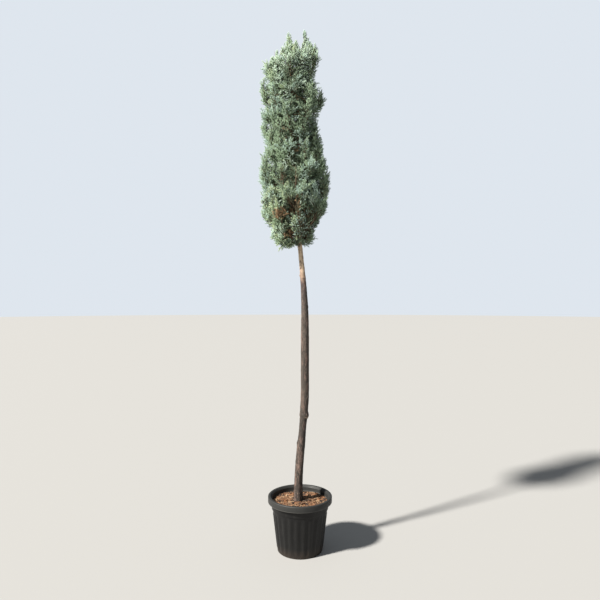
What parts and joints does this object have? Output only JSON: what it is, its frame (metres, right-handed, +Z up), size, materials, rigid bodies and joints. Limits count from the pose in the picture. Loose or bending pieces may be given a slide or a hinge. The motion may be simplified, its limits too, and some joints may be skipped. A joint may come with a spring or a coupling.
{
  "type": "potted arizona cypress standard",
  "caption": "Arizona cypress grown as a standard: narrow upswept grey-green crown on a clear, gently bent stem, in a round nursery container with bark mulch.",
  "frame": {"origin": "middle of the container's flat underside", "axes": "+Z up the stem; the side that the picture shows faces -Y, with +X to the viewer's right"},
  "size_m": [0.5366, 0.5008, 3.6061],
  "materials": {
    "pot": "satin",
    "potting_mix": "matte",
    "mulch": "matte",
    "bark": "matte",
    "foliage": "matte"
  },
  "bodies": {
    "root": {"pot": "pot", "potting_mix": "potting_mix", "bark_mulch": "mulch", "trunk": "bark", "bough_01": "bark", "bough_02": "bark", "bough_03": "bark", "bough_04": "bark", "bough_05": "bark", "bough_06": "bark", "bough_07": "bark", "bough_08": "bark", "bough_09": "bark", "bough_10": "bark", "bough_11": "bark", "bough_12": "bark", "bough_13": "bark", "bough_14": "bark", "bough_15": "bark", "bough_16": "bark", "bough_17": "bark", "bough_18": "bark", "bough_19": "bark", "bough_20": "bark", "bough_21": "bark", "bough_22": "bark", "bough_23": "bark", "bough_24": "bark", "foliage_01": "foliage", "foliage_02": "foliage", "foliage_03": "foliage", "foliage_04": "foliage", "foliage_05": "foliage", "foliage_06": "foliage", "foliage_07": "foliage", "foliage_08": "foliage", "foliage_09": "foliage", "foliage_10": "foliage", "foliage_11": "foliage", "foliage_12": "foliage", "foliage_13": "foliage", "foliage_14": "foliage", "foliage_15": "foliage", "foliage_16": "foliage", "foliage_17": "foliage", "foliage_18": "foliage", "foliage_19": "foliage", "foliage_20": "foliage", "foliage_21": "foliage", "foliage_22": "foliage", "foliage_23": "foliage", "foliage_24": "foliage", "foliage_top": "foliage"}
  },
  "joints": []
}
